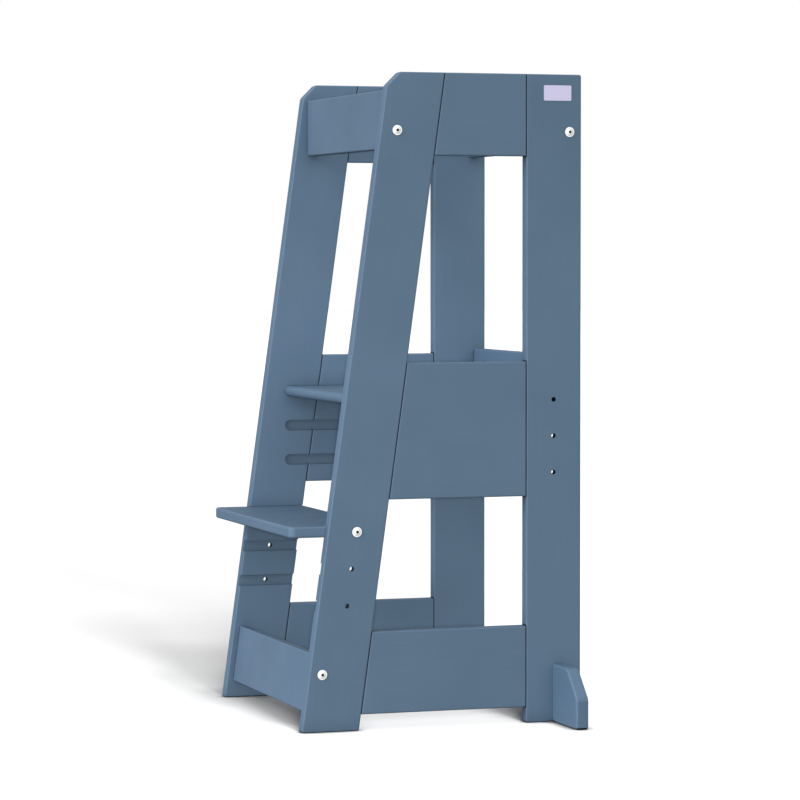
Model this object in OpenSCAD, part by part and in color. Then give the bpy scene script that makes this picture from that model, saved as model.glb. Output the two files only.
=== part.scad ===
// Learning tower for a toddler at a kitchen counter, in millimetres.
// X runs across the tower, Y from the climbing side to the counter side, and Z up from the floor.
// Two glued side frames carry three bolted crossbars, a foot bar, a step and a sliding platform.

/* [Frame] */
// Height of the tower
tower_h = 890; // [850:1:930]
// Width over the two side frames
tower_w = 406; // [370:1:460]
// Depth on the floor, from the climbing posts' toes to the uprights' back edges
base_depth = 402; // [380:1:450]
// Lean of the climbing posts from the vertical, in degrees
lean = 7.9; // [5:0.1:9]
// Height of the 45 degree cut at the top of each climbing post
top_cut = 19.5; // [8:0.5:28]

/* [Boards] */
// Width of the posts
post_w = 80; // [72:1:88]
// Thickness of the boards in the side frames
side_t = 18; // [17:0.5:22]
// Width of the crossbars and of the toe board
bar_w = 80; // [70:1:86]
// Thickness of the crossbars, of the toe board and of the foot bar
bar_t = 18; // [17:0.5:22]
// Radius that eases the edges of the posts, rails, crossbars and toe board
ease_r = 2; // [1:0.25:3]

/* [Side rails] */
// Height of the top rails
top_rail_h = 112; // [100:1:125]
// Height of the middle panels
panel_h = 185; // [178:1:200]
// Height of the middle panels' lower edges above the floor
panel_z = 312.5; // [300:0.5:330]
// Height of the bottom rails
bottom_rail_h = 112; // [100:1:120]
// Gap between the bottom rails and the floor
floor_gap = 22; // [12:1:30]

/* [Crossbars] */
// Drop from the top of the tower to the upper crossbars
top_bar_drop = 23; // [16:1:32]
// Set-back of the front upper crossbar behind the climbing posts, at its upper edge
front_set_back = 6.2; // [4:0.1:10]
// Set-back of the front lower crossbar behind the climbing posts
low_set_back = 8.5; // [5:0.5:12]
// Distance along the climbing posts from the floor to the middle of the front lower crossbar
low_bar_rise = 66; // [56:1:76]
// Set-back of the back upper crossbar in front of the uprights' back edges
back_set_back = 8.5; // [5:0.5:12]
// Distance from a crossbar's middle line to its bolts
bolt_offset = 15.5; // [12:0.5:20]
// Distance from a crossbar's middle line to its dowels, on the other side
dowel_offset = 20; // [14:0.5:24]

/* [Platform and step] */
// Thickness of the platform and of the step
board_t = 15; // [14:0.5:16]
// Depth of the grooves in the side frames
groove_depth = 6; // [5:0.5:7]
// Clearance above and below a board in its groove
groove_gap = 0.3; // [0.2:0.05:0.5]
// Clearance between a board's end and the floor of its groove
end_gap = 0.5; // [0.3:0.1:0.8]
// Distance between two levels
level_pitch = 50; // [46:1:54]
// Rise from a middle panel's lower edge to the lowest platform groove
low_groove_rise = 32.5; // [24:0.5:36]
// Height of the lowest step groove
low_step_z = 170; // [160:1:180]
// Level that the platform is at, counted from the lowest
platform_level = 3; // [1:1:3]
// Level that the step is at, counted from the lowest
step_level = 3; // [1:1:3]
// Distance from the climbing posts' toes to the closed front ends of the platform grooves
groove_start = 92; // [86:1:96]
// Depth of the step, front to back
step_depth = 133; // [120:1:140]
// Distance from the step's front edge to its bolts
step_bolt_inset = 91; // [80:1:100]
// Radius of the step's two front corners, seen from above
step_corner_r = 9; // [8:0.5:14]
// Radius that eases the step's edges
step_ease_r = 3; // [2:0.25:3.75]
// Rise of the toe board above the platform
toe_rise = 51.5; // [40:0.5:56]

/* [Foot bar] */
// Reach of the foot bar past each side frame
foot_reach = 90; // [80:1:110]
// Height of the foot bar
foot_h = 80; // [72:1:90]
// Height of the foot bar's end faces, below its 45 degree cuts
foot_end_h = 42; // [34:1:50]
// Distance from the uprights' back edges to the foot bar
foot_inset = 23; // [20:0.5:25]
// Height of the cut that lifts the foot bar's middle off the floor
foot_relief_h = 22; // [12:1:28]
// Length at each end of that cut which stays down beside the upright
foot_pad = 14; // [8:1:30]
// Radius of that cut's upper corners
foot_relief_r = 10; // [6:1:12]
// Radius that eases the foot bar's edges
foot_ease_r = 3; // [1:0.25:4]

/* [Fasteners] */
// Diameter of the bolts
bolt_d = 6; // [5:0.5:7]
// Width of a bolt head over its flange
head_d = 13.6; // [12:0.2:15]
// Height of a bolt head with its flange
head_h = 3.3; // [2.8:0.1:4]
// Width of a bolt head's dome
dome_d = 10.5; // [9:0.1:11]
// Thickness of a bolt head's flange
flange_h = 1.1; // [0.8:0.1:1.3]
// Width across the flats of a bolt's hex socket
socket_w = 4; // [3:0.5:5]
// Depth of a bolt's hex socket
socket_depth = 2.1; // [1.5:0.1:2.5]
// Width of the flat rim round a bolt's hex socket
socket_rim = 0.5; // [0.3:0.1:0.8]
// Clearance round a bolt in the holes that it passes through
bolt_gap = 0.3; // [0.2:0.05:0.5]
// Length of the crossbars' bolts
bar_bolt_len = 60; // [52:1:66]
// Length of the step's bolts
step_bolt_len = 50; // [44:1:54]
// Length of the foot bar's bolts
foot_bolt_len = 60; // [58:1:64]
// Diameter of the barrel nuts
nut_d = 10; // [9:0.5:11]
// Length of the barrel nuts in the crossbars and posts
nut_len = 12; // [10:0.5:13]
// Length of the barrel nuts in the platform and the step
short_nut_len = 10; // [8:0.5:11]
// Length of bolt that passes a barrel nut's middle
nut_reach = 8; // [6:0.5:10]
// Width of the screwdriver slot in a barrel nut
nut_slot_w = 1.2; // [0.8:0.1:1.6]
// Depth of the screwdriver slot in a barrel nut
nut_slot_depth = 1; // [0.6:0.1:1.2]
// Clearance round a bolt in its barrel nut
thread_gap = 0.15; // [0.1:0.05:0.3]
// Clearance round a barrel nut or a dowel in its hole
fit_gap = 0.1; // [0.05:0.05:0.2]
// Diameter of the dowels
dowel_d = 8; // [6:0.5:9]
// Length of the side frames' dowels
side_dowel_len = 35; // [28:1:40]
// Length of the crossbars' dowels
bar_dowel_len = 30; // [26:1:34]
// Length of a crossbar dowel that sits in the post
bar_dowel_in_post = 10; // [8:0.5:12]
// Distance from a rail's edges to its outer dowels
dowel_margin = 28; // [20:1:36]
// Diameter of the toe board's wood screws
screw_d = 4.5; // [3.5:0.5:5]
// Length of the toe board's wood screws
screw_len = 45; // [38:1:55]
// Diameter of those screws' countersunk heads
screw_head_d = 9; // [8:0.5:10]
// Depth of the cross recess in those heads
screw_recess = 1.6; // [1:0.1:2]
// Distance between neighbouring toe board screws
screw_pitch = 145; // [120:5:165]

/* [Label plate] */
// Length of the blank label plate
label_w = 40; // [30:1:50]
// Height of the blank label plate
label_h = 21; // [16:1:26]
// Thickness of the blank label plate
label_t = 0.6; // [0.4:0.1:1]
// Distance from the top of the tower to the plate
label_drop = 15; // [10:1:30]
// Distance from the upright's back edge to the plate
label_inset = 15; // [10:1:20]
// Radius of the plate's corners
label_r = 1.5; // [0.5:0.5:3]

/* [Hidden] */
$fn = 48;
paint = "#5B7389";
steel = "#C9CCD1";
beech = "#D2A878";
plate_grey = "#D5D8E6";

// Levels that the platform and the step can each be set to
level_count = 3;
// How far a cut runs past the face that it opens, and a blind hole past the end of what it holds
nudge = 1;
hole_tip = 1;
// How far a board's corners are nipped off, out in the open and at a glued joint
corner_cut = ease_r;
joint_cut = ease_r / 2;
bolt_hole_d = bolt_d + 2 * bolt_gap;
lap_z = foot_h / 2;
outer_x = tower_w / 2;
inner_x = outer_x - side_t;
side_x = outer_x - side_t / 2;
post_run = post_w / cos(lean);
upright_y = base_depth - post_w;
groove_r = board_t / 2 + groove_gap;
board_end_x = inner_x + groove_depth - end_gap;

function toe_y(z) = z * tan(lean);
function heel_y(z) = toe_y(z) + post_run;
function mid_post_y(z) = toe_y(z) + post_run / 2;
function groove_z(level) = panel_z + low_groove_rise + (level - 1) * level_pitch;
function step_groove_z(level) = low_step_z + (level - 1) * level_pitch;

platform_z = groove_z(platform_level);
platform_y = groove_start + groove_gap;
step_z = step_groove_z(step_level);
lock_y = upright_y + post_w / 2;
step_bolt_y = mid_post_y(step_z);
step_front_y = step_bolt_y - step_bolt_inset;
toe_board_y = base_depth - bar_t;
toe_board_z = platform_z + board_t / 2 + toe_rise - bar_w / 2;
foot_y = base_depth - foot_inset - bar_t / 2;
foot_bolt_z = lap_z / 2;
foot_nut_y = base_depth - foot_bolt_len + nut_reach;
bar_nut_x = outer_x - bar_bolt_len + nut_reach;
step_nut_x = outer_x - step_bolt_len + nut_reach;
// The toe board's screws stop short of the platform's barrel nuts, by a screw's own diameter
screw_room = step_nut_x - nut_d / 2 - screw_d;
screw_gaps = floor(2 * screw_room / screw_pitch);
screw_x = [for (i = [0:screw_gaps]) (i - screw_gaps / 2) * screw_pitch];
y_mid = (step_front_y + base_depth + head_h) / 2;

rail_dowel_z = [floor_gap + dowel_margin, floor_gap + bottom_rail_h - dowel_margin];
panel_dowel_z = [for (level = [1:level_count]) groove_z(level) + level_pitch / 2];
top_dowel_z = [tower_h - top_rail_h + dowel_margin, tower_h - dowel_margin];
side_dowel_z = concat(rail_dowel_z, panel_dowel_z, top_dowel_z);

// Each crossbar has its middle in depth and height, its lean, the side of its middle line that
// its bolts are on, and the side that its barrel nuts go in from, which faces into the tower
top_bar_z = tower_h - top_bar_drop - bar_w / 2;
front_bar_y = toe_y(tower_h - top_bar_drop) + front_set_back + bar_t / 2;
low_face_set = low_set_back + bar_t / 2;
low_bar_y = low_bar_rise * sin(lean) + low_face_set * cos(lean);
low_bar_z = low_bar_rise * cos(lean) - low_face_set * sin(lean);
FRONT_TOP = [[front_bar_y, top_bar_z], 0, -1, 1];
FRONT_LOW = [[low_bar_y, low_bar_z], lean, 1, 1];
BACK_TOP = [[base_depth - back_set_back - bar_t / 2, top_bar_z], 0, -1, -1];
BARS = [FRONT_TOP, FRONT_LOW, BACK_TOP];

// Moves the tower so that the origin is under the middle of its box
module placed() translate([0, -y_mid, 0]) children();

// Makes both of a pair that mirror each other across the tower
module both_sides() {
    children();
    mirror([1, 0, 0]) children();
}

// Stands an outline up: its X runs back, its Y runs up and its thickness runs across the tower
module stand() rotate([90, 0, 90]) children();

// The two points that nip off one corner of an outline, each at a distance from it
function nip(before, corner, after, cut) = [
    corner + cut * (before - corner) / norm(before - corner),
    corner + cut * (after - corner) / norm(after - corner)];

// An outline with each corner nipped by its own distance, where 0 leaves it sharp
function nipped(outline, cuts) =
    let (count = len(outline))
    [for (i = [0:count - 1]) each cuts[i] == 0 ? [outline[i]]
        : nip(outline[(i + count - 1) % count], outline[i], outline[(i + 1) % count], cuts[i])];

function box_outline(low, high) = [low, [high.x, low.y], high, [low.x, high.y]];

// A strip with its near edge eased on both faces, which runs along X
module eased_strip(reach, t, r) {
    stand() translate([0, 0, -reach]) linear_extrude(2 * reach) {
        translate([r, -t / 2]) square([reach, t]);
        translate([0, r - t / 2]) square([reach, t - 2 * r]);
        for (side = [-1, 1]) translate([r, side * (t / 2 - r)]) circle(r);
    }
}

// A convex board: its outline runs anticlockwise, and every edge of both its faces is eased
module eased_board(outline, t, r) {
    count = len(outline);
    reach = max([for (p = outline, q = outline) norm(p - q)]);
    intersection_for (i = [0:count - 1]) {
        start = outline[i];
        run = outline[(i + 1) % count] - start;
        translate([start.x, start.y, 0]) rotate(atan2(run.y, run.x)) eased_strip(reach + nudge, t, r);
    }
}

// A quarter of a disc with its rim eased like a board's edges, which rounds the corner at low X and Y
module eased_quarter(radius, t, r) {
    rotate(180) rotate_extrude(angle = 90) {
        translate([0, -t / 2]) square([radius - r, t]);
        translate([0, r - t / 2]) square([radius, t - 2 * r]);
        for (side = [-1, 1]) translate([radius - r, side * (t / 2 - r)]) circle(r);
    }
}

// A cylinder across the tower between two places on X
module across(x0, x1, y, z, d) translate([x0, y, z]) rotate([0, 90, 0]) cylinder(h = x1 - x0, d = d);

// A flanged button head bolt, with its seat at the origin and its shank down Z
module bolt(len) {
    socket_d = socket_w / cos(30);
    flat_r = socket_d / 2 + socket_rim;
    dome_h = head_h - flange_h;
    below = (dome_d * dome_d / 4 - flat_r * flat_r - dome_h * dome_h) / (2 * dome_h);
    difference() {
        union() {
            translate([0, 0, -len]) cylinder(h = len + flange_h / 2, d = bolt_d);
            cylinder(h = flange_h, d = head_d);
            intersection() {
                translate([0, 0, flange_h - below]) sphere(norm([dome_d / 2, below]));
                translate([0, 0, flange_h / 2]) cylinder(h = head_h - flange_h / 2, d = dome_d);
            }
        }
        translate([0, 0, head_h - socket_depth]) cylinder(h = socket_depth + nudge, d = socket_d, $fn = 6);
    }
}

// A barrel nut on Z, threaded along X, with its screwdriver slot on top
module barrel_nut(len) {
    difference() {
        cylinder(h = len, d = nut_d, center = true);
        rotate([0, 90, 0]) cylinder(h = nut_d + 2 * nudge, d = bolt_d + 2 * thread_gap, center = true);
        translate([-nut_d, -nut_slot_w / 2, len / 2 - nut_slot_depth])
            cube([2 * nut_d, nut_slot_w, nut_slot_depth + nudge]);
    }
}

// The blind hole for a barrel nut, open on top, in a board of thickness t
module nut_bore(len, t) {
    below = len / 2 + hole_tip;
    translate([0, 0, -below]) cylinder(h = below + t / 2 + nudge, d = nut_d + 2 * fit_gap);
}

// A dowel on Z with chamfered ends
module dowel(len) {
    chamfer = dowel_d / 8;
    r = dowel_d / 2;
    rotate_extrude() polygon([[0, -len / 2], [r - chamfer, -len / 2], [r, chamfer - len / 2],
        [r, len / 2 - chamfer], [r - chamfer, len / 2], [0, len / 2]]);
}

// Puts something at a joint of the right side frame, where a rail meets a post
module at_joints(zs, slanted) {
    for (z = zs) translate([side_x, slanted ? heel_y(z) : upright_y, z]) rotate([90, 0, 0]) children();
}

module joint_holes(zs, slanted) {
    at_joints(zs, slanted) cylinder(h = side_dowel_len + 2 * hole_tip, d = dowel_d + 2 * fit_gap, center = true);
}

// Puts something in a crossbar's own place, upright with its thickness along Y
module at_bar(bar) translate([0, bar[0].x, bar[0].y]) rotate([-bar[1], 0, 0]) children();

module bar_bolt_hole(bar) at_bar(bar) {
    across(outer_x - bar_bolt_len - hole_tip, outer_x + nudge, 0, bar[2] * bolt_offset, bolt_hole_d);
}

module bar_dowel_hole(bar) at_bar(bar) {
    x1 = inner_x + bar_dowel_in_post + hole_tip;
    across(x1 - bar_dowel_len - 2 * hole_tip, x1, 0, -bar[2] * dowel_offset, dowel_d + 2 * fit_gap);
}

// Turns a barrel nut or its hole to the side of a crossbar that it goes in from
module at_bar_nut(bar) at_bar(bar) {
    translate([bar_nut_x, 0, bar[2] * bolt_offset]) rotate([-90 * bar[3], 0, 0]) children();
}

// A platform groove in the right side frame, closed in front and open behind
module platform_groove(level) {
    translate([inner_x, groove_start + groove_r, groove_z(level)]) stand() translate([0, 0, -nudge])
        linear_extrude(groove_depth + nudge) {
            circle(groove_r);
            translate([0, -groove_r]) square([base_depth, 2 * groove_r]);
        }
}

module platform_grooves() for (level = [1:level_count]) platform_groove(level);

// A step groove, which runs right across the climbing post
module step_groove(level) {
    z = step_groove_z(level);
    translate([inner_x - nudge, toe_y(z) - post_w / 2, z - groove_r])
        cube([groove_depth + nudge, post_run + post_w, 2 * groove_r]);
}

module side_board(outline) translate([side_x, 0, 0]) stand() eased_board(outline, side_t, ease_r);

module climbing_post() {
    cut_z = tower_h - top_cut;
    outline = [[0, 0], [post_run, 0], [heel_y(tower_h), tower_h], [toe_y(cut_z) + top_cut, tower_h],
        [toe_y(cut_z), cut_z]];
    difference() {
        side_board(nipped(outline, [corner_cut, corner_cut, joint_cut, corner_cut, corner_cut]));
        platform_grooves();
        joint_holes(side_dowel_z, true);
        for (level = [1:level_count]) {
            z = step_groove_z(level);
            step_groove(level);
            across(inner_x, outer_x + nudge, mid_post_y(z), z, bolt_hole_d);
        }
        for (bar = [FRONT_TOP, FRONT_LOW]) {
            bar_bolt_hole(bar);
            bar_dowel_hole(bar);
        }
    }
}

module upright_post() {
    outline = box_outline([upright_y, 0], [base_depth, tower_h]);
    difference() {
        side_board(nipped(outline, [corner_cut, corner_cut, corner_cut, joint_cut]));
        platform_grooves();
        joint_holes(side_dowel_z, false);
        for (level = [1:level_count]) across(inner_x, outer_x + nudge, lock_y, groove_z(level), bolt_hole_d);
        bar_bolt_hole(BACK_TOP);
        bar_dowel_hole(BACK_TOP);
        translate([inner_x - nudge, foot_y - bar_t / 2 - fit_gap, -nudge])
            cube([side_t + 2 * nudge, bar_t + 2 * fit_gap, lap_z + nudge]);
        foot_bolt_hole();
        at_foot_nut() nut_bore(nut_len, side_t);
    }
}

module rail(z0, z1, zs) {
    outline = [[heel_y(z0), z0], [upright_y, z0], [upright_y, z1], [heel_y(z1), z1]];
    difference() {
        side_board(nipped(outline, [for (p = outline) joint_cut]));
        joint_holes(zs, true);
        joint_holes(zs, false);
    }
}

module top_rail() rail(tower_h - top_rail_h, tower_h, top_dowel_z);

module bottom_rail() rail(floor_gap, floor_gap + bottom_rail_h, rail_dowel_z);

module middle_panel() {
    difference() {
        rail(panel_z, panel_z + panel_h, panel_dowel_z);
        platform_grooves();
    }
}

module side_dowels() for (slanted = [true, false]) at_joints(side_dowel_z, slanted) dowel(side_dowel_len);

module crossbar(bar) {
    outline = box_outline([-inner_x, -bar_w / 2], [inner_x, bar_w / 2]);
    difference() {
        at_bar(bar) rotate([90, 0, 0]) eased_board(outline, bar_t, ease_r);
        both_sides() {
            bar_bolt_hole(bar);
            bar_dowel_hole(bar);
            at_bar_nut(bar) nut_bore(nut_len, bar_t);
        }
    }
}

module foot_bolt_hole() {
    translate([side_x, base_depth + nudge, foot_bolt_z]) rotate([90, 0, 0])
        cylinder(h = foot_bolt_len + hole_tip + nudge, d = bolt_hole_d);
}

// Turns a barrel nut or its hole to the inner face of the upright, threaded along Y
module at_foot_nut() translate([side_x, foot_nut_y, foot_bolt_z]) rotate([0, -90, 0]) rotate(90) children();

// The cut that lifts the foot bar's middle, with rounded upper corners
module foot_relief() {
    half = inner_x - foot_pad;
    side = foot_relief_h - foot_relief_r;
    rotate([90, 0, 0]) linear_extrude(bar_t + 2 * nudge, center = true) {
        translate([-half, -nudge]) square([2 * half, side + nudge]);
        translate([foot_relief_r - half, -nudge]) square([2 * (half - foot_relief_r), foot_relief_h + nudge]);
        for (end = [-1, 1]) translate([end * (half - foot_relief_r), side]) circle(foot_relief_r);
    }
}

module foot_bar() {
    reach = outer_x + foot_reach;
    shoulder = reach - (foot_h - foot_end_h);
    outline = [[-reach, 0], [reach, 0], [reach, foot_end_h], [shoulder, foot_h], [-shoulder, foot_h],
        [-reach, foot_end_h]];
    color(paint) placed() difference() {
        translate([0, foot_y, 0]) rotate([90, 0, 0])
            eased_board(nipped(outline, [for (p = outline) foot_ease_r]), bar_t, foot_ease_r);
        translate([0, foot_y, 0]) foot_relief();
        both_sides() {
            translate([inner_x - fit_gap, foot_y - bar_t, lap_z])
                cube([side_t + 2 * fit_gap, 2 * bar_t, foot_h]);
            foot_bolt_hole();
        }
    }
}

// The step's board with its two front corners rounded, from its front edge back
module step_board() {
    outline = box_outline([-board_end_x, 0], [board_end_x, step_depth]);
    corner = [step_corner_r - board_end_x, step_corner_r, 0];
    difference() {
        eased_board(nipped(outline, [0, 0, corner_cut, corner_cut]), board_t, step_ease_r);
        both_sides() translate(corner - [2, 2, 1] * step_corner_r) cube(2 * step_corner_r);
    }
    both_sides() translate(corner) eased_quarter(step_corner_r, board_t, step_ease_r);
}

module lower_step() color(paint) placed() difference() {
    translate([0, step_front_y, step_z]) step_board();
    both_sides() {
        across(outer_x - step_bolt_len - hole_tip, outer_x, step_bolt_y, step_z, bolt_hole_d);
        translate([step_nut_x, step_bolt_y, step_z]) rotate([180, 0, 0]) nut_bore(short_nut_len, board_t);
    }
}

module platform() {
    nose_r = board_t / 2;
    color(paint) placed() difference() {
        translate([-board_end_x, platform_y + nose_r, platform_z]) stand() linear_extrude(2 * board_end_x) {
            circle(nose_r);
            translate([0, -nose_r]) square([toe_board_y - platform_y - nose_r, board_t]);
        }
        both_sides() {
            across(outer_x - step_bolt_len - hole_tip, outer_x, lock_y, platform_z, bolt_hole_d);
            translate([step_nut_x, lock_y, platform_z]) rotate([180, 0, 0]) nut_bore(short_nut_len, board_t);
        }
        toe_screw_holes();
    }
}

module toe_board() {
    half = inner_x - end_gap;
    outline = box_outline([-half, -bar_w / 2], [half, bar_w / 2]);
    color(paint) placed() difference() {
        translate([0, toe_board_y + bar_t / 2, toe_board_z]) rotate([90, 0, 0])
            eased_board(nipped(outline, [for (p = outline) corner_cut]), bar_t, ease_r);
        toe_screw_holes();
    }
}

// A countersunk wood screw, with its head's top at the origin and its point down Z
module wood_screw(len, d, head) {
    taper = (head - d) / 2;
    rotate_extrude() polygon([[0, 0], [head / 2, 0], [d / 2, -taper], [d / 2, d - len], [0, -len]]);
}

module at_toe_screws() {
    for (x = screw_x) translate([x, base_depth, platform_z]) rotate([-90, 0, 0]) children();
}

module toe_screw_holes() at_toe_screws() {
    wood_screw(screw_len + hole_tip, screw_d + 2 * fit_gap, screw_head_d + 2 * fit_gap);
    cylinder(h = nudge, d = screw_head_d + 2 * fit_gap);
}

module toe_board_screws() {
    recess_w = screw_head_d / 8;
    recess_len = screw_head_d / 2;
    color(steel) placed() at_toe_screws() difference() {
        wood_screw(screw_len, screw_d, screw_head_d);
        for (turn = [0, 90]) rotate(turn)
            translate([-recess_len / 2, -recess_w / 2, -screw_recess])
                cube([recess_len, recess_w, screw_recess + nudge]);
    }
}

module right_climbing_post() color(paint) placed() climbing_post();
module right_upright_post() color(paint) placed() upright_post();
module right_top_rail() color(paint) placed() top_rail();
module right_middle_panel() color(paint) placed() middle_panel();
module right_bottom_rail() color(paint) placed() bottom_rail();
module right_side_dowels() color(beech) placed() side_dowels();

module left_climbing_post() color(paint) placed() mirror([1, 0, 0]) climbing_post();
module left_upright_post() color(paint) placed() mirror([1, 0, 0]) upright_post();
module left_top_rail() color(paint) placed() mirror([1, 0, 0]) top_rail();
module left_middle_panel() color(paint) placed() mirror([1, 0, 0]) middle_panel();
module left_bottom_rail() color(paint) placed() mirror([1, 0, 0]) bottom_rail();
module left_side_dowels() color(beech) placed() mirror([1, 0, 0]) side_dowels();

module front_top_crossbar() color(paint) placed() crossbar(FRONT_TOP);
module front_low_crossbar() color(paint) placed() crossbar(FRONT_LOW);
module back_top_crossbar() color(paint) placed() crossbar(BACK_TOP);

module crossbar_bolts() color(steel) placed() both_sides() for (bar = BARS) {
    at_bar(bar) translate([outer_x, 0, bar[2] * bolt_offset]) rotate([0, 90, 0]) bolt(bar_bolt_len);
}

module crossbar_barrel_nuts() color(steel) placed() both_sides() for (bar = BARS) {
    at_bar_nut(bar) barrel_nut(nut_len);
}

module crossbar_dowels() color(beech) placed() both_sides() for (bar = BARS) {
    at_bar(bar) translate([inner_x + bar_dowel_in_post - bar_dowel_len / 2, 0, -bar[2] * dowel_offset])
        rotate([0, 90, 0]) dowel(bar_dowel_len);
}

module foot_bar_bolts() color(steel) placed() both_sides() {
    translate([side_x, base_depth, foot_bolt_z]) rotate([-90, 0, 0]) bolt(foot_bolt_len);
}

module foot_bar_barrel_nuts() color(steel) placed() both_sides() at_foot_nut() barrel_nut(nut_len);

module under_board_nuts(y, z) both_sides() {
    translate([step_nut_x, y, z]) rotate([180, 0, 0]) barrel_nut(short_nut_len);
}

module step_barrel_nuts() color(steel) placed() under_board_nuts(step_bolt_y, step_z);
module platform_barrel_nuts() color(steel) placed() under_board_nuts(lock_y, platform_z);

module step_bolt() translate([outer_x, step_bolt_y, step_z]) rotate([0, 90, 0]) bolt(step_bolt_len);
module right_step_bolt() color(steel) placed() step_bolt();
module left_step_bolt() color(steel) placed() mirror([1, 0, 0]) step_bolt();

module label_plate() color(plate_grey) placed() {
    low = [base_depth - label_inset - label_w, tower_h - label_drop - label_h];
    translate([outer_x, low.x, low.y]) stand() linear_extrude(label_t) {
        translate([label_r, 0]) square([label_w - 2 * label_r, label_h]);
        translate([0, label_r]) square([label_w, label_h - 2 * label_r]);
        for (x = [label_r, label_w - label_r], y = [label_r, label_h - label_r])
            translate([x, y]) circle(label_r);
    }
}

right_climbing_post();
right_upright_post();
right_top_rail();
right_middle_panel();
right_bottom_rail();
right_side_dowels();
left_climbing_post();
left_upright_post();
left_top_rail();
left_middle_panel();
left_bottom_rail();
left_side_dowels();
front_top_crossbar();
front_low_crossbar();
back_top_crossbar();
crossbar_bolts();
crossbar_barrel_nuts();
crossbar_dowels();
foot_bar();
foot_bar_bolts();
foot_bar_barrel_nuts();
lower_step();
step_barrel_nuts();
right_step_bolt();
left_step_bolt();
platform();
toe_board();
toe_board_screws();
platform_barrel_nuts();
label_plate();
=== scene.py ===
"""Looks for a toddler's learning tower: grey-blue painted beech, zinc-plated bolts and a bare label plate.

The file is laid out as a Blender add-on and is run as a script. Lengths are in metres, in the tower's own
frame: X across the tower, Y from the climbing side to the counter side, Z up from the floor.
"""
import math

import bpy
from bpy.props import FloatProperty, FloatVectorProperty, PointerProperty
from mathutils import Matrix, Vector

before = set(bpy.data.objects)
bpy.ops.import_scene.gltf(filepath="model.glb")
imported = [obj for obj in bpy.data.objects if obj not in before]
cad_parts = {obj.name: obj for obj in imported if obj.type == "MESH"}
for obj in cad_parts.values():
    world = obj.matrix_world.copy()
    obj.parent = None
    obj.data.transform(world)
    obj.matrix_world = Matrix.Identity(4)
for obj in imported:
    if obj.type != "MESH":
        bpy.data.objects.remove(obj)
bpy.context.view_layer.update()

bl_info = {
    "name": "Learning tower looks",
    "version": (1, 0, 0),
    "blender": (4, 5, 0),
    "location": "3D View > Sidebar > Tower",
    "description": "Paints, plates and lights a toddler's learning tower",
    "category": "Object",
}

MM = 0.001

# The boards, grouped by the way their grain runs
POSTS = ("right_climbing_post", "left_climbing_post")
UPRIGHTS = ("right_upright_post", "left_upright_post")
SIDE_RAILS = ("right_top_rail", "right_middle_panel", "right_bottom_rail",
              "left_top_rail", "left_middle_panel", "left_bottom_rail")
CROSS_BOARDS = ("front_top_crossbar", "front_low_crossbar", "back_top_crossbar", "foot_bar", "toe_board")
TREADS = ("lower_step", "platform")
BOLTS = ("crossbar_bolts", "foot_bar_bolts", "right_step_bolt", "left_step_bolt", "toe_board_screws")
NUTS = ("crossbar_barrel_nuts", "foot_bar_barrel_nuts", "step_barrel_nuts", "platform_barrel_nuts")
DOWELS = ("right_side_dowels", "left_side_dowels", "crossbar_dowels")

# The soft suns, each with its angle round the tower, its angle above the floor and its width, in degrees
KEY_SUN = (12, 32, 30)
FAR_SUN = (88, 40, 90)
BACK_SUN = (225, 12, 60)
BOLT_SUN = (80, 10, 60)

# The suns that light the floor: each one's angle round the tower and above the floor, and its share of the
# light. They are all as wide as each other
FLOOR_SUNS = ((77, 6, 0.21), (90, 8, 0.28), (97, 40, 0.3), (92, 72, 0.23))
FLOOR_SUN_WIDTH = 12

# Width of the camera's film, in millimetres
FILM_WIDTH = 36

# The panel behind the camera and the low one beside the climbing side
FRONT_PANEL_WIDTH = 0.12
LOW_PANEL_WIDTH = 0.4
LOW_PANEL_PLACE = (0.5, -0.85, 0.3)
LOW_PANEL_AIM = (0, -0.1, 0.2)

# The direction in which the room is brightest, and how far down from it, as a cosine, the room is black
ROOM_TOP = (0, -0.45, 0.89)
ROOM_DARK = -0.79

# How far the materials look for a surface that faces them, for their painted shade: in a joint, in a corner or
# a hole, in a bolt's socket, and from the floor
JOINT_REACH = 2.5 * MM
CORNER_REACH = 25 * MM
SOCKET_REACH = 4 * MM
FLOOR_REACH = 22 * MM

# Half of the painted shade line along a seam: all dark this far out, and gone that far out
SEAM_CORE = 0.35 * MM
SEAM_RIM = 0.9 * MM

# Turns that bring each board's grain onto Z, in the tower's frame
POST_LEAN = math.radians(7.9)
ALONG_POST = (POST_LEAN, 0, 0)
ALONG_Z = (0, 0, 0)
ALONG_Y = (math.radians(90), 0, 0)
ALONG_X = (0, math.radians(-90), 0)

# The seams where a side frame's boards meet, each as the slope and the start of its line Y = start + slope Z
POST_SEAM = (math.tan(POST_LEAN), -115.3 * MM)
UPRIGHT_SEAM = (0, 125.9 * MM)


def linear(hex_colour):
    """Turns an sRGB hex colour into the linear values that a shader takes."""
    def channel(pair):
        value = int(pair, 16) / 255
        return value / 12.92 if value <= 0.04045 else ((value + 0.055) / 1.055) ** 2.4
    digits = hex_colour.lstrip("#")
    return tuple(channel(digits[i:i + 2]) for i in (0, 2, 4)) + (1.0,)


def add_node(tree, kind, inputs=None, links=None, **settings):
    """Adds a node with its settings, its input values and its links, given as input: (node, output)."""
    node = tree.nodes.new(kind)
    for name, value in settings.items():
        setattr(node, name, value)
    for name, value in (inputs or {}).items():
        node.inputs[name].default_value = value
    for name, (source, output) in (links or {}).items():
        tree.links.new(source.outputs[output], node.inputs[name])
    return node


def direction(azimuth, elevation):
    """The direction from the tower to a camera or a light at these angles, in radians."""
    return Vector((math.sin(azimuth) * math.cos(elevation), -math.cos(azimuth) * math.cos(elevation),
                   math.sin(elevation)))


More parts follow.
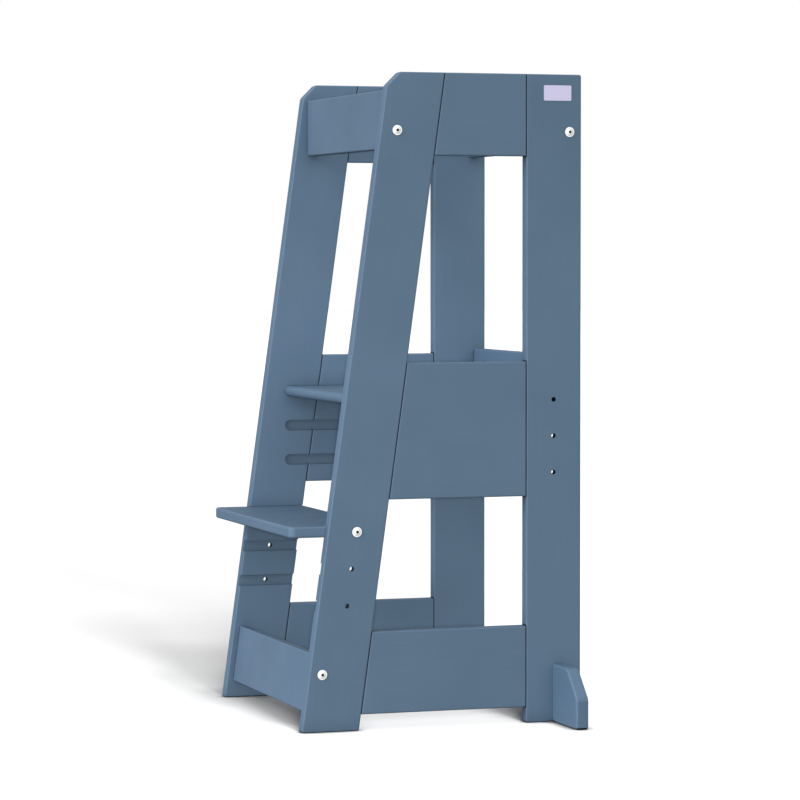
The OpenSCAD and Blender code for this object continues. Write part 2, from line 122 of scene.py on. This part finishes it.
def new_material(name, **shader_inputs):
    """A node material with nothing in it but its Principled shader and output."""
    material = bpy.data.materials.new(name)
    material.use_nodes = True
    tree = material.node_tree
    tree.nodes.clear()
    output = add_node(tree, "ShaderNodeOutputMaterial")
    shader = add_node(tree, "ShaderNodeBsdfPrincipled", inputs=shader_inputs)
    tree.links.new(shader.outputs["BSDF"], output.inputs["Surface"])
    return material, tree, shader


def dress(names, material):
    """Puts a material on CAD nodes in place of their plain ones."""
    for name in names:
        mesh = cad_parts[name].data
        mesh.materials.clear()
        mesh.materials.append(material)


class TowerPaint(bpy.types.PropertyGroup):
    """The paint on the beech boards."""
    colour: FloatVectorProperty(name="Paint", description="Colour of the paint on a flat face",
                                subtype="COLOR", size=4, min=0, max=1, default=linear("#647C92"))
    thick_colour: FloatVectorProperty(name="Thick paint", description="Colour where the paint lies thick",
                                      subtype="COLOR", size=4, min=0, max=1, default=linear("#5E768B"))
    # Painted highlight: a paler colour over the eased edges, as if they caught the light
    edge_highlight_colour: FloatVectorProperty(name="Painted edge highlight", description="Colour over the eased edges",
                                     subtype="COLOR", size=4, min=0, max=1, default=linear("#6B849B"))
    end_colour: FloatVectorProperty(name="End grain", description="Colour where end grain soaks the paint up",
                                    subtype="COLOR", size=4, min=0, max=1, default=linear("#5F778D"))
    # Painted shade in joints, holes, inside corners and along the seams
    crevice_shade_colour: FloatVectorProperty(name="Crevices", description="Colour at the bottom of joints and holes",
                                        subtype="COLOR", size=4, min=0, max=1, default=linear("#0E141B"))
    roughness: FloatProperty(name="Roughness", description="Roughness of the satin paint",
                             subtype="FACTOR", min=0, max=1, default=0.55)
    grain_width: FloatProperty(name="Grain width", description="Width of a streak of grain under the paint",
                               unit="LENGTH", min=0.1 * MM, default=3 * MM)
    grain_length: FloatProperty(name="Grain length", description="Length of a streak of grain under the paint",
                                unit="LENGTH", min=1 * MM, default=90 * MM)
    grain_depth: FloatProperty(name="Grain depth", description="How deep the grain shows through the paint",
                               unit="LENGTH", min=0, default=0.014 * MM)
    peel_width: FloatProperty(name="Spray texture", description="Width of a bump of the sprayed paint",
                              unit="LENGTH", min=0.1 * MM, default=1.6 * MM)
    peel_depth: FloatProperty(name="Spray depth", description="Height of a bump of the sprayed paint",
                              unit="LENGTH", min=0, default=0.01 * MM)


class TowerTrim(bpy.types.PropertyGroup):
    """The bolts, the dowels and the label plate."""
    zinc: FloatVectorProperty(name="Zinc", description="Colour of the zinc plating",
                              subtype="COLOR", size=4, min=0, max=1, default=linear("#FCFDFC"))
    # Painted shade inside the bolts' sockets and round their heads
    socket_shade: FloatVectorProperty(name="Recesses", description="Colour inside the bolts' sockets",
                                subtype="COLOR", size=4, min=0, max=1, default=linear("#08080A"))
    zinc_roughness: FloatProperty(name="Zinc roughness", description="Roughness of the zinc plating",
                                  subtype="FACTOR", min=0, max=1, default=0.42)
    beech: FloatVectorProperty(name="Beech", description="Colour of the bare beech",
                               subtype="COLOR", size=4, min=0, max=1, default=linear("#D9B184"))
    plate: FloatVectorProperty(name="Plate", description="Colour of the blank label plate",
                               subtype="COLOR", size=4, min=0, max=1, default=linear("#DFDAF8"))


class TowerStage(bpy.types.PropertyGroup):
    """The studio: its camera, its floor and its lights."""
    camera_aim: FloatVectorProperty(name="Camera aim", description="Point that the camera looks at",
                                    subtype="TRANSLATION", size=3, default=(0.0026, 0.0102, 0.438))
    camera_distance: FloatProperty(name="Camera distance", description="Distance from that point to the camera",
                                   unit="LENGTH", default=4.7508)
    camera_azimuth: FloatProperty(name="Camera azimuth", description="Angle of the camera round the tower",
                                  subtype="ANGLE", default=math.radians(71.5454))
    camera_elevation: FloatProperty(name="Camera elevation", description="Angle of the camera above level",
                                    subtype="ANGLE", default=math.radians(2.5257))
    camera_roll: FloatProperty(name="Camera roll", description="Turn of the camera about its own axis",
                               subtype="ANGLE", default=math.radians(-0.0375))
    camera_lens: FloatProperty(name="Camera lens", description="Focal length on a 36 mm sensor",
                               unit="CAMERA", default=151.02)
    floor_size: FloatProperty(name="Floor", description="Width of the studio floor",
                              unit="LENGTH", default=60.0)
    floor_colour: FloatVectorProperty(name="Floor colour", description="Colour of the studio floor",
                                      subtype="COLOR", size=4, min=0, max=1, default=linear("#CCCCCC"))
    room_light: FloatProperty(name="Room light", description="Strength of the light from the ceiling",
                              min=0, default=0.75)
    key_light: FloatProperty(name="Key light", description="Strength of the light over the climbing side",
                             min=0, default=1.65)
    key_colour: FloatVectorProperty(name="Key colour", description="Colour of the key light, as of a clear sky",
                                    subtype="COLOR", size=4, min=0, max=1, default=linear("#EAF1FF"))
    front_light: FloatProperty(name="Front light", description="Power of the round panel behind the camera",
                               unit="POWER", min=0, default=93)
    far_front_light: FloatProperty(name="Far front light", description="Its power on the far side frame",
                                   unit="POWER", min=0, default=77)
    far_light: FloatProperty(name="Far fill", description="Strength of the soft light over the far side frame",
                             min=0, default=0.72)
    low_light: FloatProperty(name="Low light", description="Power of the panel low beside the climbing side",
                             unit="POWER", min=0, default=0.9)
    bolt_light: FloatProperty(name="Bolt light", description="Strength of the light that the bolts catch",
                              min=0, default=0.85)
    back_light: FloatProperty(name="Back light", description="Strength of the light behind the counter side",
                              min=0, default=1.4)
    floor_light: FloatProperty(name="Floor light", description="Strength of the suns that light the floor",
                               min=0, default=4.15)


def painted_beech(name, paint, grain_turn, seams=()):
    """Beech, planed and sprayed with a satin grey-blue paint: an even, faintly streaky film that shows the
    grain as shallow furrows and sinks darker into the end grain. The eased edges get a painted highlight, and
    joints, holes, inside corners and seams get painted shade."""
    material, tree, shader = new_material(name)
    place = add_node(tree, "ShaderNodeTexCoord")
    turned = add_node(tree, "ShaderNodeMapping", inputs={"Rotation": grain_turn},
                      links={"Vector": (place, "Object")}, vector_type="POINT")
    facing = add_node(tree, "ShaderNodeMapping", inputs={"Rotation": grain_turn},
                      links={"Vector": (place, "Normal")}, vector_type="NORMAL")

    # Real beech flecks are 0.3 mm wide. The streaks are drawn ten times as wide, so that they show
    across = 1 / paint.grain_width
    along = 1 / paint.grain_length
    stretched = add_node(tree, "ShaderNodeMapping", inputs={"Scale": (across, across, along)},
                         links={"Vector": (turned, "Vector")})
    grain = add_node(tree, "ShaderNodeTexNoise", inputs={"Scale": 1.0, "Detail": 3.0, "Roughness": 0.6},
                     links={"Vector": (stretched, "Vector")})
    peel = add_node(tree, "ShaderNodeTexNoise", inputs={"Scale": 1 / paint.peel_width, "Detail": 1.0},
                    links={"Vector": (turned, "Vector")})
    # The spray's passes change the film's thickness slowly, over about a hand's width
    passes = add_node(tree, "ShaderNodeTexNoise", inputs={"Scale": 1 / (120 * MM), "Detail": 2.0},
                      links={"Vector": (turned, "Vector")})

    film = add_node(tree, "ShaderNodeMath", inputs={1: 0.35, 2: 0.0}, operation="MULTIPLY_ADD",
                    links={0: (grain, "Fac"), 2: (passes, "Fac")})
    thickness = add_node(tree, "ShaderNodeMapRange", inputs={"From Min": 0.45, "From Max": 0.9},
                         links={"Value": (film, 0)})
    face_colour = add_node(tree, "ShaderNodeMix", data_type="RGBA",
                           inputs={6: paint.colour, 7: paint.thick_colour},
                           links={0: (thickness, "Result")})

    # An end faces along the grain, and an eased edge faces neither along a main axis nor across one
    axes = add_node(tree, "ShaderNodeSeparateXYZ", links={"Vector": (facing, "Vector")})
    end_face = add_node(tree, "ShaderNodeMath", inputs={1: 2.0}, operation="POWER",
                        links={0: (axes, "Z")})
    end_mask = add_node(tree, "ShaderNodeMapRange", inputs={"From Min": 0.6, "From Max": 1.0, "To Max": 0.8},
                        links={"Value": (end_face, 0)})
    with_ends = add_node(tree, "ShaderNodeMix", data_type="RGBA", inputs={7: paint.end_colour},
                         links={0: (end_mask, "Result"), 6: (face_colour, 2)})
    fourth_powers = add_node(tree, "ShaderNodeVectorMath", operation="MULTIPLY",
                             links={0: (facing, "Vector"), 1: (facing, "Vector")})
    flatness = add_node(tree, "ShaderNodeVectorMath", operation="DOT_PRODUCT",
                        links={0: (fourth_powers, 0), 1: (fourth_powers, 0)})
    # Painted highlight: the eased edges are coloured paler, as if lit
    edge_highlight_mask = add_node(tree, "ShaderNodeMapRange",
                         inputs={"From Min": 0.93, "From Max": 0.6, "To Max": 0.25},
                         links={"Value": (flatness, "Value")})
    colour = add_node(tree, "ShaderNodeMix", data_type="RGBA", inputs={7: paint.edge_highlight_colour},
                      links={0: (edge_highlight_mask, "Result"), 6: (with_ends, 2)})
    # Painted shade: the bottom of a joint or a hole is coloured dark, where little light gets in
    nearby = add_node(tree, "ShaderNodeAmbientOcclusion", inputs={"Distance": JOINT_REACH}, samples=16)
    inside = add_node(tree, "ShaderNodeAmbientOcclusion", inputs={"Distance": CORNER_REACH}, samples=16)
    crevice_shade = add_node(tree, "ShaderNodeMapRange", inputs={"From Min": 0.64, "From Max": 0.42},
                       links={"Value": (nearby, "AO")})
    hole = add_node(tree, "ShaderNodeMapRange", inputs={"From Min": 0.34, "From Max": 0.2},
                    links={"Value": (inside, "AO")})
    # Painted shade: a soft darkening towards an inside corner
    corner = add_node(tree, "ShaderNodeMapRange", inputs={"From Min": 1.0, "From Max": 0.3, "To Max": 0.3},
                      links={"Value": (inside, "AO")})
    masks = [crevice_shade, hole] + ([corner] if seams else [])
    # Painted shade: where two boards meet, a dark line as wide as the gap between their eased edges, where
    # shade falls into the gap
    open_side = add_node(tree, "ShaderNodeMapRange", inputs={"From Min": 0.97, "From Max": 0.85},
                         links={"Value": (nearby, "AO")})
    for slope, start in seams:
        across_seam = add_node(tree, "ShaderNodeVectorMath", inputs={1: (0, 1, -slope)},
                               links={0: (place, "Object")}, operation="DOT_PRODUCT")
        off_seam = add_node(tree, "ShaderNodeMath", inputs={1: start}, links={0: (across_seam, "Value")},
                            operation="SUBTRACT")
        gap = add_node(tree, "ShaderNodeMath", links={0: (off_seam, 0)}, operation="ABSOLUTE")
        line = add_node(tree, "ShaderNodeMapRange", inputs={"From Min": SEAM_RIM, "From Max": SEAM_CORE},
                        links={"Value": (gap, 0)})
        masks.append(add_node(tree, "ShaderNodeMath", links={0: (line, "Result"), 1: (open_side, "Result")},
                              operation="MULTIPLY"))
    painted_shade = masks[0]
    for mask in masks[1:]:
        painted_shade = add_node(tree, "ShaderNodeMath", links={0: (painted_shade, 0), 1: (mask, 0)},
                             operation="MAXIMUM")
    with_painted_shade = add_node(tree, "ShaderNodeMix", data_type="RGBA", inputs={7: paint.crevice_shade_colour},
                             links={0: (painted_shade, 0), 6: (colour, 2)})
    tree.links.new(with_painted_shade.outputs[2], shader.inputs["Base Color"])

    sheen = add_node(tree, "ShaderNodeMapRange",
                     inputs={"From Min": 0.3, "From Max": 0.7, "To Min": paint.roughness - 0.05,
                             "To Max": paint.roughness + 0.07},
                     links={"Value": (passes, "Fac")})
    tree.links.new(sheen.outputs["Result"], shader.inputs["Roughness"])
    furrows = add_node(tree, "ShaderNodeBump", inputs={"Strength": 1.0, "Distance": paint.grain_depth},
                       links={"Height": (grain, "Fac")})
    bumps = add_node(tree, "ShaderNodeBump", inputs={"Strength": 1.0, "Distance": paint.peel_depth},
                     links={"Height": (peel, "Fac"), "Normal": (furrows, "Normal")})
    tree.links.new(bumps.outputs["Normal"], shader.inputs["Normal"])
    shader.inputs["IOR"].default_value = 1.5
    shader.inputs["Specular IOR Level"].default_value = 0.2
    return material


def zinc_plated_steel(name, trim):
    """Steel, cold headed and zinc plated: a bright, slightly milky metal with faint tumbling marks, and painted
    shade in its sockets and round its heads.
    """
    material, tree, shader = new_material(name, **{"Metallic": 0.15})
    place = add_node(tree, "ShaderNodeTexCoord")
    # Painted shade: the bottom of a socket and the rim round the head are coloured dark, where little light
    # gets in
    nearby = add_node(tree, "ShaderNodeAmbientOcclusion", inputs={"Distance": SOCKET_REACH}, samples=16)
    socket_shade = add_node(tree, "ShaderNodeMapRange", inputs={"From Min": 0.86, "From Max": 0.72},
                      links={"Value": (nearby, "AO")})
    colour = add_node(tree, "ShaderNodeMix", data_type="RGBA", inputs={6: trim.zinc, 7: trim.socket_shade},
                      links={0: (socket_shade, "Result")})
    tree.links.new(colour.outputs[2], shader.inputs["Base Color"])
    # Tumbling leaves marks about 0.4 mm wide
    marks = add_node(tree, "ShaderNodeTexNoise", inputs={"Scale": 1 / (0.4 * MM), "Detail": 2.0},
                     links={"Vector": (place, "Object")})
    dull = add_node(tree, "ShaderNodeMapRange",
                    inputs={"From Min": 0.3, "From Max": 0.7, "To Min": trim.zinc_roughness - 0.06,
                            "To Max": trim.zinc_roughness + 0.1},
                    links={"Value": (marks, "Fac")})
    tree.links.new(dull.outputs["Result"], shader.inputs["Roughness"])
    bumps = add_node(tree, "ShaderNodeBump", inputs={"Strength": 1.0, "Distance": 0.004 * MM},
                     links={"Height": (marks, "Fac")})
    tree.links.new(bumps.outputs["Normal"], shader.inputs["Normal"])
    return material


def bare_beech(name, trim):
    """Beech, turned and left bare: warm and dull, with short brown flecks along the dowel."""
    material, tree, shader = new_material(name, **{"Roughness": 0.6})
    place = add_node(tree, "ShaderNodeTexCoord")
    # Beech flecks are 0.3 mm wide and 3 mm long
    stretched = add_node(tree, "ShaderNodeMapping", links={"Vector": (place, "Object")},
                         inputs={"Scale": (1 / (3 * MM), 1 / (0.3 * MM), 1 / (0.3 * MM))})
    flecks = add_node(tree, "ShaderNodeTexNoise", inputs={"Scale": 1.0, "Detail": 2.0},
                      links={"Vector": (stretched, "Vector")})
    brown = add_node(tree, "ShaderNodeMapRange", inputs={"From Min": 0.55, "From Max": 0.75, "To Max": 0.6},
                     links={"Value": (flecks, "Fac")})
    colour = add_node(tree, "ShaderNodeMix", data_type="RGBA",
                      inputs={6: trim.beech, 7: linear("#A9794C")}, links={0: (brown, "Result")})
    tree.links.new(colour.outputs[2], shader.inputs["Base Color"])
    return material


def printed_film(name, trim):
    """Polyester label film, cast and die cut: smooth and half matt, with a faint pebble that breaks its
    sheen."""
    material, tree, shader = new_material(name, **{"Base Color": trim.plate, "Roughness": 0.38})
    place = add_node(tree, "ShaderNodeTexCoord")
    # The film's pebble is 0.15 mm across. It is drawn 0.6 mm across, so that it shows
    pebble = add_node(tree, "ShaderNodeTexNoise", inputs={"Scale": 1 / (0.6 * MM), "Detail": 1.0},
                      links={"Vector": (place, "Object")})
    bumps = add_node(tree, "ShaderNodeBump", inputs={"Strength": 1.0, "Distance": 0.006 * MM},
                     links={"Height": (pebble, "Fac")})
    tree.links.new(bumps.outputs["Normal"], shader.inputs["Normal"])
    return material


def seamless_paper(name, stage):
    """Studio background paper, matt and nearly white, with a fibre too fine to throw a shadow."""
    material, tree, shader = new_material(name, **{"Roughness": 0.9, "Specular IOR Level": 0.1})
    place = add_node(tree, "ShaderNodeTexCoord")
    fibre = add_node(tree, "ShaderNodeTexNoise", inputs={"Scale": 1 / (4 * MM), "Detail": 2.0},
                     links={"Vector": (place, "Object")})
    colour = add_node(tree, "ShaderNodeMix", data_type="RGBA",
                      inputs={6: stage.floor_colour, 7: linear("#D0D0D0")}, links={0: (fibre, "Fac")})
    # Hardly any light gets in where a board stands on the paper
    nearby = add_node(tree, "ShaderNodeAmbientOcclusion", inputs={"Distance": FLOOR_REACH}, samples=8)
    contact = add_node(tree, "ShaderNodeMapRange", inputs={"From Min": 0.9, "From Max": 0.45, "To Max": 0.8},
                       links={"Value": (nearby, "AO")})
    shaded = add_node(tree, "ShaderNodeMix", data_type="RGBA", inputs={7: linear("#202226")},
                      links={0: (contact, "Result"), 6: (colour, 2)})
    tree.links.new(shaded.outputs[2], shader.inputs["Base Color"])
    return material


def camera_matrix(stage):
    """Where the camera stands and how it is turned."""
    back = direction(stage.camera_azimuth, stage.camera_elevation)
    turn = (-back).to_track_quat("-Z", "Y").to_matrix().to_4x4()
    place = Vector(stage.camera_aim) + back * stage.camera_distance
    return Matrix.Translation(place) @ turn @ Matrix.Rotation(stage.camera_roll, 4, "Z")


def add_object(name, data):
    """Puts something new into the scene."""
    made = bpy.data.objects.new(name, data)
    bpy.context.scene.collection.objects.link(made)
    return made


def collect(name, members):
    """A collection that names which objects a light shines on."""
    made = bpy.data.collections.new(name)
    for member in members:
        made.objects.link(member)
    return made


def add_sun(name, azimuth, elevation, width, strength, lit):
    """A soft sun from a direction, given like a camera's, that shines only on some objects."""
    light = bpy.data.lights.new(name, "SUN")
    light.angle = math.radians(width)
    light.energy = strength
    made = add_object(name, light)
    back = direction(math.radians(azimuth), math.radians(elevation))
    made.rotation_mode = "QUATERNION"
    made.rotation_quaternion = (-back).to_track_quat("-Z", "Y")
    made.light_linking.receiver_collection = lit
    return made


def add_panel(name, place, aim, width, power, lit):
    """A round panel of light that faces a point, shines only on some objects and isn't seen itself."""
    light = bpy.data.lights.new(name, "AREA")
    light.shape = "DISK"
    light.size = width
    light.energy = power
    made = add_object(name, light)
    made.location = place
    made.rotation_mode = "QUATERNION"
    made.rotation_quaternion = (aim - place).to_track_quat("-Z", "Y")
    made.visible_camera = False
    made.light_linking.receiver_collection = lit
    return made


class TOWER_OT_paint_side_frames(bpy.types.Operator):
    """Paint the posts and rails of the two side frames"""
    bl_idname = "tower.paint_side_frames"
    bl_label = "Paint the side frames"

    def execute(self, context):
        paint = context.scene.tower_paint
        dress(POSTS, painted_beech("painted_beech_leaning", paint, ALONG_POST, [POST_SEAM]))
        dress(UPRIGHTS, painted_beech("painted_beech_upright", paint, ALONG_Z, [UPRIGHT_SEAM]))
        dress(SIDE_RAILS, painted_beech("painted_beech_fore_and_aft", paint, ALONG_Y,
                                        [POST_SEAM, UPRIGHT_SEAM]))
        return {"FINISHED"}


class TOWER_OT_paint_cross_boards(bpy.types.Operator):
    """Paint the crossbars, the foot bar, the toe board, the step and the platform"""
    bl_idname = "tower.paint_cross_boards"
    bl_label = "Paint the boards across"

    def execute(self, context):
        material = painted_beech("painted_beech_across", context.scene.tower_paint, ALONG_X)
        dress(CROSS_BOARDS + TREADS, material)
        return {"FINISHED"}


class TOWER_OT_plate_fasteners(bpy.types.Operator):
    """Zinc plate the bolts, the screws and the barrel nuts"""
    bl_idname = "tower.plate_fasteners"
    bl_label = "Plate the fasteners"

    def execute(self, context):
        dress(BOLTS + NUTS, zinc_plated_steel("zinc_plated_steel", context.scene.tower_trim))
        return {"FINISHED"}


class TOWER_OT_leave_dowels_bare(bpy.types.Operator):
    """Give the dowels inside the joints their bare beech"""
    bl_idname = "tower.leave_dowels_bare"
    bl_label = "Leave the dowels bare"

    def execute(self, context):
        dress(DOWELS, bare_beech("bare_beech", context.scene.tower_trim))
        return {"FINISHED"}


class TOWER_OT_finish_label_plate(bpy.types.Operator):
    """Give the blank label plate its pale film"""
    bl_idname = "tower.finish_label_plate"
    bl_label = "Finish the label plate"

    def execute(self, context):
        dress(("label_plate",), printed_film("polyester_label_film", context.scene.tower_trim))
        return {"FINISHED"}


def lay_floor(stage):
    """The studio floor: a sheet of paper that the tower stands on."""
    half = stage.floor_size / 2
    sheet = bpy.data.meshes.new("studio_floor")
    sheet.from_pydata([(-half, -half, 0), (half, -half, 0), (half, half, 0), (-half, half, 0)], [],
                      [(0, 1, 2, 3)])
    sheet.materials.append(seamless_paper("seamless_paper", stage))
    floor = add_object("studio_floor", sheet)
    floor.visible_diffuse = False
    floor.visible_glossy = False
    return floor


def studio_room(stage):
    """The room round the tower: bright above the climbing side, dark below the tower, and seen as white."""
    world = bpy.data.worlds.new("studio_room")
    world.use_nodes = True
    tree = world.node_tree
    tree.nodes.clear()
    rays = add_node(tree, "ShaderNodeLightPath")
    sky = add_node(tree, "ShaderNodeTexCoord")
    height = add_node(tree, "ShaderNodeVectorMath", inputs={1: ROOM_TOP},
                      links={0: (sky, "Generated")}, operation="DOT_PRODUCT")
    brightness = add_node(tree, "ShaderNodeMapRange", links={"Value": (height, "Value")},
                          inputs={"From Min": ROOM_DARK, "To Max": stage.room_light})
    room = add_node(tree, "ShaderNodeBackground", inputs={"Color": (1, 1, 1, 1)},
                    links={"Strength": (brightness, "Result")})
    backdrop = add_node(tree, "ShaderNodeBackground", inputs={"Color": (1, 1, 1, 1), "Strength": 1.0})
    seen = add_node(tree, "ShaderNodeMixShader",
                    links={0: (rays, "Is Camera Ray"), 1: (room, 0), 2: (backdrop, 0)})
    add_node(tree, "ShaderNodeOutputWorld", links={"Surface": (seen, 0)})
    return world


def hang_lights(stage, floor):
    """The lights, each of which shines on the tower, on some of its pieces or on the floor."""
    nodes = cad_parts
    tower = collect("lit_tower", nodes.values())
    bolts = collect("lit_bolts", [nodes[name] for name in BOLTS])
    far = {name: node for name, node in nodes.items() if name.startswith("left_") and name not in BOLTS}
    far_side = collect("lit_far_side", far.values())
    near_side = collect("lit_near_side", [node for name, node in nodes.items() if name not in far])
    ground = collect("lit_floor", [floor])

    key = add_sun("key_light", *KEY_SUN, stage.key_light, tower)
    key.data.color = stage.key_colour[:3]
    for lit, power in ((near_side, stage.front_light), (far_side, stage.far_front_light)):
        add_panel("front_light", camera_matrix(stage).translation, Vector(stage.camera_aim),
                  FRONT_PANEL_WIDTH, power, lit)
    # The near side frame doesn't keep this one off the far side frame
    over = add_sun("far_light", *FAR_SUN, stage.far_light, far_side)
    over.light_linking.blocker_collection = collect("far_screens", [
        node for name, node in nodes.items() if not name.startswith("right_")])
    # The back light lifts the faces turned away from the climbing side and leaves no sheen on the others
    back = add_sun("back_light", *BACK_SUN, stage.back_light, tower)
    back.visible_glossy = False
    add_sun("bolt_light", *BOLT_SUN, stage.bolt_light, bolts)
    low = add_panel("low_light", Vector(LOW_PANEL_PLACE), Vector(LOW_PANEL_AIM), LOW_PANEL_WIDTH,
                    stage.low_light, tower)
    low.data.color = stage.key_colour[:3]

    # Low suns draw the long soft shadow, and high ones fill it in. They pass the near bottom rail
    screens = collect("floor_screens", [node for name, node in nodes.items() if name != "right_bottom_rail"])
    for azimuth, elevation, share in FLOOR_SUNS:
        strength = share * stage.floor_light / math.sin(math.radians(elevation))
        sun = add_sun("floor_panel", azimuth, elevation, FLOOR_SUN_WIDTH, strength, ground)
        sun.light_linking.blocker_collection = screens


class TOWER_OT_set_stage(bpy.types.Operator):
    """Lay the studio floor, hang the lights and place the camera"""
    bl_idname = "tower.set_stage"
    bl_label = "Set the stage"

    def execute(self, context):
        scene = context.scene
        stage = scene.tower_stage
        floor = lay_floor(stage)
        scene.world = studio_room(stage)
        hang_lights(stage, floor)
        camera = add_object("camera", bpy.data.cameras.new("camera"))
        camera.data.sensor_width = FILM_WIDTH
        camera.data.lens = stage.camera_lens
        camera.matrix_world = camera_matrix(stage)
        scene.camera = camera
        scene.view_settings.view_transform = "Standard"
        return {"FINISHED"}


class TOWER_PT_looks(bpy.types.Panel):
    """Lists the steps that dress and light the tower"""
    bl_idname = "TOWER_PT_looks"
    bl_label = "Learning tower"
    bl_space_type = "VIEW_3D"
    bl_region_type = "UI"
    bl_category = "Tower"

    def draw(self, context):
        for operator in OPERATORS:
            self.layout.operator(operator.bl_idname)
        for group in (context.scene.tower_paint, context.scene.tower_trim, context.scene.tower_stage):
            box = self.layout.box()
            for name in group.bl_rna.properties.keys():
                if name not in ("rna_type", "name"):
                    box.prop(group, name)


GROUPS = {"tower_paint": TowerPaint, "tower_trim": TowerTrim, "tower_stage": TowerStage}
OPERATORS = (TOWER_OT_paint_side_frames, TOWER_OT_paint_cross_boards, TOWER_OT_plate_fasteners,
             TOWER_OT_leave_dowels_bare, TOWER_OT_finish_label_plate, TOWER_OT_set_stage)


def register():
    for group in GROUPS.values():
        bpy.utils.register_class(group)
    for name, group in GROUPS.items():
        setattr(bpy.types.Scene, name, PointerProperty(type=group))
    for kind in OPERATORS + (TOWER_PT_looks,):
        bpy.utils.register_class(kind)


def unregister():
    for kind in (TOWER_PT_looks,) + OPERATORS[::-1]:
        bpy.utils.unregister_class(kind)
    for name, group in GROUPS.items():
        delattr(bpy.types.Scene, name)
        bpy.utils.unregister_class(group)


def main():
    register()
    bpy.ops.tower.paint_side_frames()
    bpy.ops.tower.paint_cross_boards()
    bpy.ops.tower.plate_fasteners()
    bpy.ops.tower.leave_dowels_bare()
    bpy.ops.tower.finish_label_plate()
    bpy.ops.tower.set_stage()


if __name__ == "__main__":
    main()
